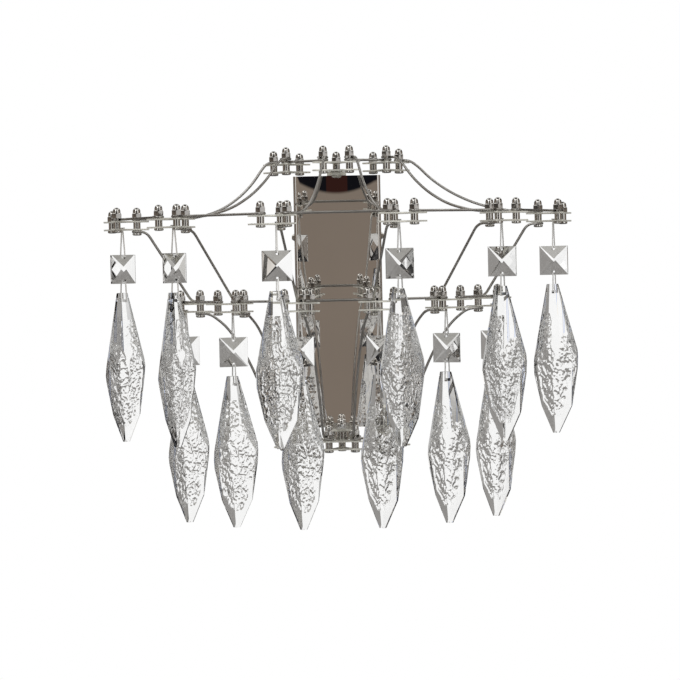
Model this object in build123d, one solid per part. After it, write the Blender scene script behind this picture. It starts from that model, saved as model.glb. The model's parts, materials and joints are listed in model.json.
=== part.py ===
"""Crystal wall sconce: half of a round basket of bent rods and bolted plate pairs, hung with
twelve crystal strands, carried on a polished box. +Z is up, the wall is the plane Y = 0 and the
object stands out towards -Y. The origin is midway between the two wall screws, on the wall."""

import math
import os

from build123d import *

# Driving dimensions, in millimetres and degrees.

# Basket: four tiers of junctions on half circles about one upright axis.
axis_standoff = 10.0
top_radius = 44.3
wide_radius = 170.0
lower_radius = 113.0
lower_end_radius = 122.0
bottom_radius = 44.0
bottom_end_radius = 40.0
wide_level = 61.6
lower_level = -2.2
top_clearance = 0.9
bottom_clearance = 6.4
end_bearings = (-60.0, 0.0, 60.0)
body_bearings = (-75.0, -45.0, -15.0, 15.0, 45.0, 75.0)

# One junction: a pair of three-pointed plates held apart by barrels on three bolts.
bolt_circle = 11.5
plate_reach = 21.0
plate_tip_width = 3.0
plate_waist = 7.6
plate_thickness = 1.2
plate_gap = 4.8
barrel_width = 5.4
barrel_bore = 3.7
hanger_hole = 4.0

# Bolts, nuts and washers.
bolt_width = 3.5
head_width = 7.5
head_height = 2.0
nut_width = 7.8
nut_hex_height = 3.6
nut_height = 8.0
nut_crown_width = 3.0
washer_width = 13.5
washer_count = 3
seat_gap = 0.04

# Rods and their open eyes.
rod_width = 2.0
eye_play = 0.2

# Shapes of the bent rods, as shares of the run and of the drop between their two bolts. Each
# canopy rod has come all the way down at its own share of the run.
canopy_bends = ((0.085, 0.0), (0.16, 0.12), (0.27, 0.36), (0.44, 0.62), (0.68, 0.86), (1.0, 1.0))
canopy_reaches = (0.58, 0.84, 0.68, 0.72, 0.84, 0.84)
strut_bends = ((0.16, 0.0), (0.88, 1.0))
basket_bends = ((0.12, 0.0), (0.32, 0.10), (0.52, 0.29), (0.69, 0.52), (0.81, 0.75), (0.92, 1.0))

# Crystal strands.
wire_width = 0.8
hook_drop = 18.5
hook_fold = 3.2
hook_neck = 0.6
hook_reach = 2.9
link_gap = 7.0
link_reach = 3.9
swing_play = 0.3
crystal_hole = 2.2
square_side = 22.0
square_edge = 1.8
square_thickness = 8.4
square_inset = 2.0
pendant_length = 113.5
pendant_top = 8.4
pendant_left = 15.3
pendant_right = 18.5
pendant_left_side = (-56.0, -69.0)
pendant_right_side = (-50.0, -64.0)
pendant_left_shoulder = (10.0, -93.0)
pendant_right_shoulder = (13.6, -93.0)
pendant_tip = 4.6
pendant_tip_shift = 1.0
pendant_edge = 2.4
pendant_thickness = 15.6
pendant_top_thickness = 5.2
pendant_tip_thickness = 3.0
pendant_ridge_left = 5.0
pendant_ridge_right = 8.0
pendant_ridge_drops = (-44.0, -80.0)
pendant_inset = 6.0
strand_turns = (40.0, 46.0, 13.0, -28.0, -26.0, -21.0, 34.0, 22.0, 30.0, -30.0, -29.0, -36.0)

# Polished box and the steel bracket inside it.
box_width = 67.0
box_height = 194.0
box_top_depth = 36.0
box_bottom_depth = 26.0
box_wall = 1.2
box_corner = 2.5
window_side_margin = 3.5
window_middle_margin = 13.0
window_depth = 13.0
window_setback = 13.0
bracket_wall = 1.5
bracket_play = 0.3
flange_width = 19.0
flange_depth = 24.0
shelf_width = 50.0
shelf_depth = 20.0
shelf_drop = 9.0
ear_height = 12.0
ear_depth = 20.0
ear_level = 50.6
wall_screw_spacing = 88.9
wall_screw_hole = 4.6
cable_hole = 18.0
cable_hole_level = 24.0
side_screw_setback = 14.0
side_screw_head = 6.4
side_screw_head_height = 2.2
side_screw_shank = 3.0
screw_play = 0.3
arm_width = 14.6
arm_thickness = 2.0
arm_screw_first = 8.0
arm_screw_pitch = 11.0
arm_screw_head = 5.6
arm_screw_head_height = 1.8
arm_screw_shank = 3.0
diffuser_lap = 1.5
diffuser_thickness = 1.8
board_thickness = 1.6
chip_side = 3.5
chip_height = 0.8
driver_width = 46.0
driver_height = 44.0
driver_depth = 17.0
driver_level = -13.0
driver_corner = 2.0
terminal_width = 15.0
terminal_height = 12.0
terminal_depth = 11.0
terminal_offset = 20.0
terminal_ways = 3

# Worked out from the sizes above.

window_width = box_width / 2 - window_side_margin - window_middle_margin
window_centre = window_middle_margin + window_width / 2
pair_half = plate_gap / 2 + plate_thickness
top_level = box_height / 2 + arm_thickness + top_clearance + pair_half
bottom_level = -box_height / 2 - arm_thickness - bottom_clearance - pair_half

UP = Vector(0, 0, 1)
ROUND_FLATS = 6
BOLT_FLATS = 5
HIDDEN_FLATS = 4


# Flat-sided solids: repeated turned and bent pieces are kept to a few flats each.


def skin(rings, closed=False):
    """A solid over rings of points, capped at both ends, or joined end to end when closed."""
    steps = list(zip(rings, rings[1:]))
    if closed:
        steps.append((rings[-1], rings[0]))
    faces = []
    for near, far in steps:
        for k in range(len(near)):
            j = (k + 1) % len(near)
            faces.append(Face(Wire.make_polygon([near[k], near[j], far[j], far[k]], close=True)))
    if not closed:
        faces.append(Face(Wire.make_polygon(rings[0], close=True)))
        faces.append(Face(Wire.make_polygon(rings[-1], close=True)))
    return Solid(Shell(faces))


def turned(centre, profile, closed=False, across_flats=False, flats=ROUND_FLATS):
    """A turning of a few flats about an upright axis, from (width, height above centre) pairs."""
    widen = 1 / math.cos(math.pi / flats) if across_flats else 1.0
    rings = []
    for width, height in profile:
        ring = []
        for k in range(round(flats)):
            angle = 2 * math.pi * k / flats
            spoke = Vector(math.cos(angle), math.sin(angle), 0) * (width * widen / 2)
            ring.append(centre + spoke + UP * height)
        rings.append(ring)
    return skin(rings, closed)


def bent_wire(points, width, closed=False):
    """A wire of square section along straight runs, mitred at every corner."""
    runs = [(b - a).normalized() for a, b in zip(points, points[1:])]
    if closed:
        runs.append((points[0] - points[-1]).normalized())
    side = UP.cross(runs[0]).normalized()
    over = runs[0].cross(side)
    half = width / 2
    corners = [points[0] + side * (half * u) + over * (half * v) for u, v in ((1, 1), (-1, 1), (-1, -1), (1, -1))]

    def mitred(ring, along, at, normal):
        return [c + along * ((at - c).dot(normal) / along.dot(normal)) for c in ring]

    if closed:
        corners = mitred(corners, runs[0], points[0], runs[-1] + runs[0])
    rings = [corners]
    last = len(points) - 1
    for k in range(1, len(points)):
        normal = runs[k - 1] if k == last and not closed else runs[k - 1] + runs[k]
        rings.append(mitred(rings[-1], runs[k - 1], points[k], normal))
    return skin(rings, closed)


def facet(stone, first, second, third):
    """Grinds away what lies outside the plane through three points; the stone's middle stays."""
    a, b, c = Vector(*first), Vector(*second), Vector(*third)
    normal = (b - a).cross(c - a).normalized()
    middle = stone.center()
    if (middle - a).dot(normal) > 0:
        normal = normal * -1
    return split(stone, bisect_by=Plane(origin=a, z_dir=normal), keep=Keep.BOTTOM).solid()


# Junctions: where the bolts stand, and what is stacked on each of them.


class Bolt:
    """One bolt of a junction, with the height of what is clamped above and below the plates."""

    def __init__(self, place, level):
        self.place = place
        self.above = level + pair_half
        self.under = level - pair_half

    def stack(self, thickness):
        """Lays a piece on top and returns its middle height."""
        middle = self.above + seat_gap + thickness / 2
        self.above += seat_gap + thickness
        return middle

    def hang(self, thickness):
        """Puts a piece underneath and returns its middle height."""
        middle = self.under - seat_gap - thickness / 2
        self.under -= seat_gap + thickness
        return middle


class Junction:
    """Three bolts: two outward, side by side, and the inner one towards the wall."""

    def __init__(self, radius, level, bearing):
        turn = math.radians(bearing)
        self.bearing = bearing
        self.level = level
        self.outward = Vector(math.sin(turn), -math.cos(turn), 0)
        self.along = Vector(math.cos(turn), math.sin(turn), 0)
        self.centre = Vector(0, -axis_standoff, 0) + self.outward * radius
        self.left = Bolt(self.arm(-60.0) * bolt_circle + self.centre, level)
        self.right = Bolt(self.arm(60.0) * bolt_circle + self.centre, level)
        self.inner = Bolt(self.arm(180.0) * bolt_circle + self.centre, level)

    def arm(self, turn):
        """The direction of a plate's point, turned from straight outward."""
        angle = math.radians(turn)
        return self.outward * math.cos(angle) + self.along * math.sin(angle)

    def bolts(self):
        return (self.left, self.right, self.inner)


def tier(radius, end_radius, level, bearings):
    """The junctions of one level; the two end ones, next to the wall, may stand at another radius."""
    junctions = []
    for bearing in bearings:
        at_end = abs(bearing) == max(bearings)
        junctions.append(Junction(end_radius if at_end else radius, level, bearing))
    return junctions


def plate(junction, bottom, barrels, hanger):
    """A three-pointed plate with hollow sides. The lower one has the barrels pressed into it."""
    waist_turns = (0.0, 120.0, 240.0)
    points = []
    for turn in waist_turns:
        points.append(junction.arm(turn) * plate_waist)
        tip = junction.arm(turn + 60.0)
        across = junction.arm(turn + 150.0) * (plate_tip_width / 2)
        points.append(tip * plate_reach - across)
        points.append(tip * plate_reach + across)
    flat = [p + junction.centre + UP * bottom for p in points]
    body = skin([flat, [p + UP * plate_thickness for p in flat]])
    for bolt in junction.bolts():
        seat = bolt.place + UP * (bottom + plate_thickness)
        if barrels:
            body = body + turned(seat, ((barrel_width, 0.0), (barrel_width, plate_gap)))
        height = plate_thickness + (plate_gap if barrels else 0.0)
        flats = ROUND_FLATS if barrels else HIDDEN_FLATS
        shape = ((barrel_bore, 0.0), (barrel_bore, height))
        body = body - turned(bolt.place + UP * bottom, shape, across_flats=True, flats=flats)
    if hanger:
        at = junction.centre + UP * bottom
        body = body - turned(at, ((hanger_hole, 0.0), (hanger_hole, plate_thickness)), across_flats=True)
    return body.solid()


def tier_plates(junctions, hangers):
    plates = []
    for junction in junctions:
        lower_face = junction.level - pair_half
        plates.append(plate(junction, lower_face, True, hangers))
        plates.append(plate(junction, junction.level + plate_gap / 2, False, False))
    return plates


# Rods: each ends in an open eye bent round a bolt, and lies in one upright plane between them.


def eyed_rod(start, start_height, end, end_height, bends=()):
    run = end.place - start.place
    ahead = run.normalized()
    side = UP.cross(ahead)
    offset = bolt_width / 2 + eye_play + rod_width / 2
    near = start.place + UP * start_height
    far = end.place + UP * end_height
    points = [near - side * offset + ahead * offset, near - side * offset - ahead * offset]
    points.append(near + side * offset - ahead * offset)
    for share, fall in bends:
        height = start_height + (end_height - start_height) * fall
        points.append(start.place + run * share + side * offset + UP * height)
    points.append(far + side * offset + ahead * offset)
    points += [far - side * offset + ahead * offset, far - side * offset - ahead * offset]
    return bent_wire(points, rod_width)


def ring_rods(junctions):
    rods = []
    for first, second in zip(junctions, junctions[1:]):
        start_height = first.right.stack(rod_width)
        rods.append(eyed_rod(first.right, start_height, second.left, second.left.stack(rod_width)))
    return rods


def canopy_rods(top, wide):
    """From each top junction's two outward bolts to the inner bolts of the two junctions it faces."""
    rods = []
    for k, junction in enumerate(top):
        for bolt, target in ((junction.left, wide[2 * k].inner), (junction.right, wide[2 * k + 1].inner)):
            start_height = bolt.stack(rod_width)
            reach = canopy_reaches[len(rods)]
            bends = [(share * reach, fall) for share, fall in canopy_bends]
            rods.append(eyed_rod(bolt, start_height, target, target.stack(rod_width), bends))
    return rods


def side_struts(wide, lower):
    """From under each wide junction's inner bolt to the top of the one below it."""
    rods = []
    for upper, under in zip(wide, lower):
        start_height = upper.inner.hang(rod_width)
        end_height = under.inner.stack(rod_width)
        rods.append(eyed_rod(upper.inner, start_height, under.inner, end_height, strut_bends))
    return rods


def basket_rods(lower, bottom):
    """From under each lower junction's inner bolt down to the outward bolts of the bottom tier."""
    rods = []
    for k, junction in enumerate(bottom):
        for bolt, source in ((junction.left, lower[2 * k].inner), (junction.right, lower[2 * k + 1].inner)):
            start_height = source.hang(rod_width)
            rods.append(eyed_rod(source, start_height, bolt, bolt.stack(rod_width), basket_bends))
    return rods


# Fasteners, placed on the finished stacks.


def bolt_solid(bolt):
    """A flared screw head under the stack and its shank up to the nut's seat."""
    neck = bolt.under - seat_gap
    at = bolt.place + UP * (neck - head_height)
    reach = bolt.above + seat_gap - neck + head_height
    shape = ((head_width, 0.0), (bolt_width, head_height), (bolt_width, reach))
    return turned(at, shape, flats=BOLT_FLATS)


def nut_solid(bolt):
    """An acorn nut: a hexagon with a crowned top."""
    at = bolt.place + UP * (bolt.above + 2 * seat_gap)
    shape = ((nut_width, 0.0), (nut_width, nut_hex_height), (nut_crown_width, nut_height))
    return turned(at, shape)


def washer(place, bottom, thickness):
    bore = barrel_bore / math.cos(math.pi / ROUND_FLATS)
    shape = ((washer_width, 0.0), (washer_width, thickness), (bore, thickness), (bore, 0.0))
    return turned(place + UP * bottom, shape, closed=True)


def arm_strip(inner_end, outer_place, bottom):
    """A flat arm from the box out to one bolt, round-cornered at its end, with its screw holes."""
    outline = Pos(0, (inner_end + outer_place.Y - arm_width / 2) / 2) * Rectangle(
        arm_width, abs(outer_place.Y - arm_width / 2 - inner_end)
    )
    tips = outline.vertices().sort_by(Axis.Y)[:2]
    outline = chamfer(tips, arm_width / 4)
    strip = Pos(0, 0, bottom) * extrude(outline, arm_thickness)
    hole = barrel_bore
    strip = strip - turned(outer_place + UP * bottom, ((hole, 0.0), (hole, arm_thickness)), across_flats=True)
    for place in arm_screw_places():
        hole = arm_screw_shank + screw_play
        shape = ((hole, 0.0), (hole, arm_thickness))
        strip = strip - turned(place + UP * bottom, shape, across_flats=True, flats=HIDDEN_FLATS)
    return strip.solid()


def arm_screw_places():
    return [Vector(0, -arm_screw_first, 0), Vector(0, -arm_screw_first - arm_screw_pitch, 0)]


def box_depth(level):
    """How far the box's front stands out at a level: it leans forward towards the top."""
    share = (level + box_height / 2) / box_height
    return box_bottom_depth + (box_top_depth - box_bottom_depth) * share


def box_block(shrink, corner, low, high):
    """The box's outer form, or with a shrink its hollow, between two levels."""
    outline = Polyline((0, low), (-box_depth(low) + shrink, low), (-box_depth(high) + shrink, high), (0, high), close=True)
    side = Plane.YZ * make_face(outline)
    block = extrude(side, box_width / 2 - shrink, both=True)
    front = [e for e in block.edges().filter_by(Axis.X, reverse=True) if e.center().Y < -shrink - 1 and abs(e.center().X) > 1 and e.length > box_height / 2]
    return fillet(front, corner)


def cover_box():
    """The polished box: front, sides, top and bottom, open to the wall, with its light windows."""
    half = box_height / 2
    shell = box_block(0.0, box_corner, -half, half)
    shell = shell - box_block(box_wall, box_corner - box_wall, -half + box_wall, half - box_wall)
    for end in (-1, 1):
        for across in (-1, 1):
            window = Box(window_width, window_depth, 3 * box_wall)
            shell = shell - Pos(across * window_centre, -window_setback, end * half) * window
        for place in arm_screw_places():
            shell = shell - screw_hole(place, end * (half - box_wall / 2), box_wall)
    for across in (-1, 1):
        shell = shell - side_hole(across * (box_width / 2 - box_wall / 2), box_wall)
    return shell.solid()


def screw_hole(place, middle, wall):
    width = arm_screw_shank + screw_play
    shape = ((width, 0.0), (width, 2 * wall))
    return turned(place + UP * (middle - wall), shape, across_flats=True, flats=HIDDEN_FLATS)


def side_hole(middle, wall):
    width = side_screw_shank + screw_play
    shape = ((width, 0.0), (width, 2 * wall))
    hole = turned(Vector(0, 0, -wall), shape, across_flats=True, flats=HIDDEN_FLATS)
    return Pos(middle, -side_screw_setback, ear_level) * Rot(0, 90, 0) * hole


def ear_face():
    """How far from the middle the bracket's ears stand, just inside the box's sides."""
    return box_width / 2 - box_wall - bracket_play


def flange_face():
    return box_height / 2 - box_wall - seat_gap


def wall_bracket():
    """A folded steel bracket: back plate, two arm flanges, two lamp shelves and two side ears."""
    width = 2 * ear_face()
    height = 2 * flange_face()
    bracket = Pos(0, -bracket_wall / 2, 0) * Box(width, bracket_wall, height)
    for end in (-1, 1):
        flange = Box(flange_width, flange_depth, bracket_wall)
        bracket = bracket + Pos(0, -flange_depth / 2, end * (flange_face() - bracket_wall / 2)) * flange
        shelf = Box(shelf_width, shelf_depth, bracket_wall)
        bracket = bracket + Pos(0, -shelf_depth / 2, end * shelf_level()) * shelf
        ear = Box(bracket_wall, ear_depth, ear_height)
        bracket = bracket + Pos(end * (ear_face() - bracket_wall / 2), -ear_depth / 2, ear_level) * ear
        screw = Cylinder(wall_screw_hole / 2, 3 * bracket_wall, rotation=(90, 0, 0))
        bracket = bracket - Pos(0, 0, end * wall_screw_spacing / 2) * screw
        bracket = bracket - side_hole(end * (ear_face() - bracket_wall / 2), bracket_wall)
        for place in arm_screw_places():
            bracket = bracket - screw_hole(place, end * (flange_face() - bracket_wall / 2), bracket_wall)
    cable = Cylinder(cable_hole / 2, 3 * bracket_wall, rotation=(90, 0, 0))
    return (bracket - Pos(0, 0, cable_hole_level) * cable).solid()


def shelf_level():
    return flange_face() - shelf_drop - bracket_wall / 2


def led_boards():
    """One board on each shelf, with a chip under each window."""
    boards = []
    for end in (-1, 1):
        face = end * (shelf_level() + bracket_wall / 2 + seat_gap)
        board_depth = shelf_depth - bracket_wall - 2 * bracket_play
        board = Pos(0, -bracket_wall - bracket_play - board_depth / 2, face + end * board_thickness / 2) * Box(
            shelf_width - 2 * bracket_play, board_depth, board_thickness
        )
        for across in (-1, 1):
            level = face + end * (board_thickness + chip_height / 2)
            chip = Pos(across * (window_centre - chip_side), -window_setback, level) * Box(chip_side, chip_side, chip_height)
            board = board + chip
        boards.append(board.solid())
    return boards


def diffusers():
    """Frosted panes glued inside the top and bottom walls, under the windows."""
    panes = []
    for end in (-1, 1):
        for across in (-1, 1):
            pane = Box(window_width + 2 * diffuser_lap, window_depth + 2 * diffuser_lap, diffuser_thickness)
            level = end * (box_height / 2 - box_wall - seat_gap - diffuser_thickness / 2)
            panes.append(Pos(across * window_centre, -window_setback, level) * pane)
    return [pane.solid() for pane in panes]


def led_driver():
    body = Box(driver_width, driver_depth, driver_height)
    body = chamfer(body.edges().filter_by(Axis.Z), driver_corner)
    return (Pos(0, -bracket_wall - seat_gap - driver_depth / 2, driver_level) * body).solid()


def terminal_block():
    body = Box(terminal_width, terminal_depth, terminal_height)
    way = terminal_width / terminal_ways
    for k in range(terminal_ways):
        across = (k - (terminal_ways - 1) / 2) * way
        pocket = Box(way / 2, terminal_depth / 2, terminal_height / 2)
        body = body - Pos(across, -terminal_depth / 2, terminal_height / 2) * pocket
    middle = -bracket_wall - seat_gap - terminal_depth / 2
    return (Pos(terminal_offset, middle, cable_hole_level) * body).solid()


def capped_screw(head, head_height_, shank, reach):
    """A domed screw along +Z: the head's underside is at zero and the shank runs down."""
    shape = ((shank, -reach), (shank, 0.0), (head, 0.0), (head / 2, head_height_))
    return turned(Vector(0, 0, 0), shape)


def side_screws():
    reach = box_wall + bracket_play + bracket_wall + screw_play
    screw = capped_screw(side_screw_head, side_screw_head_height, side_screw_shank, reach)
    right = Pos(box_width / 2 + seat_gap, -side_screw_setback, ear_level) * Rot(0, 90, 0) * screw
    left = Pos(-box_width / 2 - seat_gap, -side_screw_setback, ear_level) * Rot(0, -90, 0) * screw
    return [right, left]


def arm_screws():
    reach = arm_thickness + box_wall + bracket_wall + 4 * seat_gap
    screw = capped_screw(arm_screw_head, arm_screw_head_height, arm_screw_shank, reach)
    screws = []
    for place in arm_screw_places():
        level = box_height / 2 + arm_thickness + 2 * seat_gap
        screws.append(Pos(place.X, place.Y, level) * screw)
        screws.append(Pos(place.X, place.Y, -level) * Rot(180, 0, 0) * screw)
    return screws


# Crystal strands, made about the hanger hole and then carried to their junctions.


def strand_heights():
    """Heights of the wires and crystal middles, from the lower plate's upper face down."""
    slack = (crystal_hole - wire_width) / 2
    fold = wire_width / 2 + swing_play
    hook_foot = -plate_thickness - hook_drop - square_inset + slack
    square = hook_foot - slack + square_inset - square_side / 2 + seat_gap
    link_head = square - square_side / 2 + square_inset - slack + seat_gap
    pendant_top_edge = square - square_side / 2 - link_gap
    pendant_hole = pendant_top_edge - pendant_inset
    link_foot = pendant_hole + crystal_hole / 2 - wire_width / math.sqrt(2) - swing_play
    return fold, hook_foot, square, link_head, link_foot, pendant_top_edge


def strand_wires():
    """The hairpin through the plate's hole and the square, and the closed link below it."""
    fold, hook_foot, _, link_head, link_foot, _ = strand_heights()
    hook = [(hook_fold, fold), (hook_neck, fold), (hook_reach, hook_foot)]
    hook += [(-y, z) for y, z in reversed(hook)]
    link = [(hook_reach, link_head), (link_reach, link_foot), (-link_reach, link_foot), (-hook_reach, link_head)]
    hook_points = [Vector(0, y, z) for y, z in hook]
    link_points = [Vector(0, y, z) for y, z in link]
    return [bent_wire(hook_points, wire_width), bent_wire(link_points, wire_width, closed=True)]


def drilled(stone, level):
    start = Vector(0, 0, -square_side)
    shape = ((crystal_hole, 0.0), (crystal_hole, 2 * square_side))
    hole = Rot(90, 0, 0) * Rot(0, 0, 45) * turned(start, shape, across_flats=True, flats=HIDDEN_FLATS)
    return (stone - Pos(0, 0, level) * hole).solid()


def square_crystal():
    """A square stone ground to a low pyramid on both faces, drilled near two edges."""
    half = square_side / 2
    stone = Box(square_side, square_thickness, square_side).solid()
    for face in (-1, 1):
        peak = (0, face * square_thickness / 2, 0)
        girdle = face * square_edge / 2
        corners = [(-half, girdle, -half), (half, girdle, -half), (half, girdle, half), (-half, girdle, half)]
        for k in range(4):
            stone = facet(stone, corners[k - 1], corners[k], peak)
    stone = drilled(stone, half - square_inset)
    return drilled(stone, square_inset - half)


def pendant_outline():
    """The icicle's outline seen from the front, its blunt top at zero height."""
    tip = pendant_tip / 2
    left = [(-pendant_top / 2, 0.0)] + [(-pendant_left, z) for z in pendant_left_side]
    left += [(-pendant_left_shoulder[0], pendant_left_shoulder[1]), (pendant_tip_shift - tip, -pendant_length)]
    right = [(pendant_top / 2, 0.0)] + [(pendant_right, z) for z in pendant_right_side]
    right += [pendant_right_shoulder, (pendant_tip_shift + tip, -pendant_length)]
    return left, right


def pendant():
    """A long icicle ground from a slab: a flat panel down each face, bevels to a thin rim all round."""
    left, right = pendant_outline()
    outline = Polyline(*left, *reversed(right), close=True)
    stone = extrude(Plane.XZ * make_face(outline), pendant_thickness / 2, both=True).solid()
    high, low = pendant_ridge_drops
    for face in (-1, 1):
        rim = face * pendant_edge / 2
        panel = face * pendant_thickness / 2
        for side, ridge in ((left, -pendant_ridge_left), (right, pendant_ridge_right)):
            top, side_high, side_low, shoulder, tip = [(x, rim, z) for x, z in side]
            stone = facet(stone, top, side_high, (ridge, panel, high))
            stone = facet(stone, side_low, shoulder, (ridge, panel, low))
            stone = facet(stone, shoulder, tip, (ridge / 2, panel / 2, low - pendant_inset))
        stone = facet(stone, (-1, panel, high), (1, panel, high), (0, face * pendant_top_thickness / 2, 0))
        stone = facet(stone, (-1, panel, low), (1, panel, low), (0, face * pendant_tip_thickness / 2, -pendant_length))
    balance = stone.center()
    return drilled(Pos(-balance.X, -balance.Y, 0) * stone, -pendant_inset)


def hung(junction, turn):
    """Where a strand's own frame sits: on the lower plate's upper face, turned about the upright."""
    height = junction.level - plate_gap / 2
    return Pos(junction.centre.X, junction.centre.Y, height) * Rot(0, 0, turn)


def save(name, solids):
    shape = solids[0] if len(solids) == 1 else Compound(children=list(solids))
    export_step(shape, os.path.join("parts", name + ".step"))


def main():
    os.makedirs("parts", exist_ok=True)
    top = tier(top_radius, top_radius, top_level, end_bearings)
    wide = tier(wide_radius, wide_radius, wide_level, body_bearings)
    lower = tier(lower_radius, lower_end_radius, lower_level, body_bearings)
    bottom = tier(bottom_radius, bottom_end_radius, bottom_level, end_bearings)
    tiers = {"top": top, "wide": wide, "lower": lower, "bottom": bottom}

    for name, junctions in tiers.items():
        save(name + "_plates", tier_plates(junctions, name in ("wide", "lower")))
        save(name + "_ring_rods", ring_rods(junctions))
    save("canopy_rods", canopy_rods(top, wide))
    save("side_struts", side_struts(wide, lower))
    save("basket_rods", basket_rods(lower, bottom))

    save_arms(top[1].inner, bottom[1].inner)
    every_bolt = [bolt for junctions in tiers.values() for junction in junctions for bolt in junction.bolts()]
    save("bolts", [bolt_solid(bolt) for bolt in every_bolt])
    save("acorn_nuts", [nut_solid(bolt) for bolt in every_bolt])

    save("wall_bracket", [wall_bracket()])
    save("cover_box", [cover_box()])
    save("cover_side_screws", side_screws())
    save("arm_screws", arm_screws())
    save("led_boards", led_boards())
    save("diffusers", diffusers())
    save("led_driver", [led_driver()])
    save("terminal_block", [terminal_block()])
    save_strands(wide + lower)


def save_arms(top_bolt, bottom_bolt):
    """The arms that carry the basket: under the top tier's middle plates, over the bottom tier's."""
    half = box_height / 2
    upper = arm_strip(0.0, top_bolt.place, half + seat_gap)
    under = arm_strip(0.0, bottom_bolt.place, -half - seat_gap - arm_thickness)
    save("frame_arms", [upper, under])

    washers = []
    room = top_bolt.under - half - arm_thickness - seat_gap
    thickness = room - 2 * seat_gap
    washers.append(washer(top_bolt.place, top_bolt.hang(thickness) - thickness / 2, thickness))
    top_bolt.hang(arm_thickness)
    room = -half - arm_thickness - seat_gap - bottom_bolt.above
    thickness = room / washer_count - 2 * seat_gap
    for _ in range(washer_count):
        middle = bottom_bolt.stack(thickness)
        washers.append(washer(bottom_bolt.place, middle - thickness / 2, thickness))
    bottom_bolt.above = -half - seat_gap
    save("washers", washers)


def save_strands(junctions):
    _, _, square_level, _, _, pendant_level = strand_heights()
    wires = strand_wires()
    square = square_crystal()
    icicle = pendant()
    for k, (junction, turn) in enumerate(zip(junctions, strand_turns), 1):
        place = hung(junction, turn)
        save(f"wires_{k}", [place * wire for wire in wires])
        save(f"square_{k}", [place * (Pos(0, 0, square_level) * square)])
        save(f"pendant_{k}", [place * (Pos(0, 0, pendant_level) * icicle)])


main()
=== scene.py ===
import json
import math

import bmesh
import bpy
from mathutils import Matrix, Vector, noise as noise_field


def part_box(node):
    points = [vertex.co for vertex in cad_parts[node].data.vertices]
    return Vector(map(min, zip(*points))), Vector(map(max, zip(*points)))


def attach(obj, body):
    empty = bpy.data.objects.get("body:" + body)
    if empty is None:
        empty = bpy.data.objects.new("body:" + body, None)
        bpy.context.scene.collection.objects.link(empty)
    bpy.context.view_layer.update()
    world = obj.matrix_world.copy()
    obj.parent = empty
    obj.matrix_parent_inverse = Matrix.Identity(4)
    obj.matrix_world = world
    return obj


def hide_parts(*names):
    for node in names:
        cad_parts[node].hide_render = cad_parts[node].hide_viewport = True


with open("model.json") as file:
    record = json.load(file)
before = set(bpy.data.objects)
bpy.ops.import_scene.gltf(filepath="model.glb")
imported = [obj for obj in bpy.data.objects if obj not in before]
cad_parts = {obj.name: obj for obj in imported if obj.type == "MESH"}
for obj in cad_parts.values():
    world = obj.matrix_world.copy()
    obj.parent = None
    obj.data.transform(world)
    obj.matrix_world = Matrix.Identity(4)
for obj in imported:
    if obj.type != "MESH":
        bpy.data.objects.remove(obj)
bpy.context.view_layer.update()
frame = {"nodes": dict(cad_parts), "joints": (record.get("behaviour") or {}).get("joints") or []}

MM = 0.001
UP = Vector((0, 0, 1))
NODES = frame["nodes"]

# The upright axis that the basket's junctions stand round.
AXIS = Vector((0, -10, 0)) * MM

# Round stock: rods, and what is turned on a lathe.
TURNING_STEPS = 24
ROD_RADIUS = 1.0 * MM
ROD_SIDE_TOLERANCE = 0.02 * MM
ROD_ROUNDNESS = 3
BEND_STEPS = 6

# Acorn nuts: a hexagon, its chamfer, a collar and a round crown.
NUT_FLAT = 3.37 * MM
NUT_HEX_HEIGHT = 3.7 * MM
NUT_CHAMFER_FOOT = NUT_HEX_HEIGHT * 0.86
NUT_CHAMFER_RADIUS = NUT_FLAT * 0.93
NUT_COLLAR_HEIGHT = NUT_HEX_HEIGHT * 1.04
NUT_CROWN = 2.9 * MM
CROWN_STEPS = 6

# Bolts, head down: a low round head with a shallow dimple in its face, and a plain shank.
HEAD_RADIUS = 3.55 * MM
HEAD_HEIGHT = 1.9 * MM
SHANK_RADIUS = 1.7 * MM
HEAD_OUTLINE = (
    (0, 0.3 * MM),
    (HEAD_RADIUS * 0.45, 0.1 * MM),
    (HEAD_RADIUS * 0.8, 0.25 * MM),
    (HEAD_RADIUS, 0.8 * MM),
    (HEAD_RADIUS * 0.95, HEAD_HEIGHT),
    (SHANK_RADIUS, HEAD_HEIGHT),
)
SHANK_END_DEPTH = 0.1 * MM

WASHER_RADIUS = 6.6 * MM
WASHER_BORE_RADIUS = 1.9 * MM
WASHER_EDGE = 0.2 * MM

# Three-pointed plates, and the barrels that hold a pair of them apart.
PLATE_NODES = ("top_plates", "wide_plates", "lower_plates", "bottom_plates")
PLATE_TIP = 20.9 * MM
PLATE_TIP_HALF = 1.5 * MM
PLATE_WAIST = 7.6 * MM
PLATE_THICKNESS = 1.2 * MM
PLATE_EDGE = 0.18 * MM
PLATE_GAP = 4.8 * MM
WAIST_STEPS = 10
TIP_STEPS = 4
BOLT_CIRCLE = 11.5 * MM
BARREL_RADIUS = 2.7 * MM
BARREL_FINISH = 1

# The box: how far its sheet is bowed, and in how many strips the front is cut for it.
BOX_CORNER = 2.5 * MM
BOX_BOW = 0.6 * MM
BOX_CUTS = 24
BOX_FRONT_NORMAL = -0.97

# Points of a node nearer than this are one point, and faces flatter than this are one face.
WELD = 1e-6
FLAT_ANGLE = math.radians(1)

# Edges sharper than this stay sharp on a smoothly shaded piece, in degrees.
SHARP_ANGLE = 35
ROD_SHARP_ANGLE = 50
NUT_SHARP_ANGLE = 32
BOX_SHARP_ANGLE = 30

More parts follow.
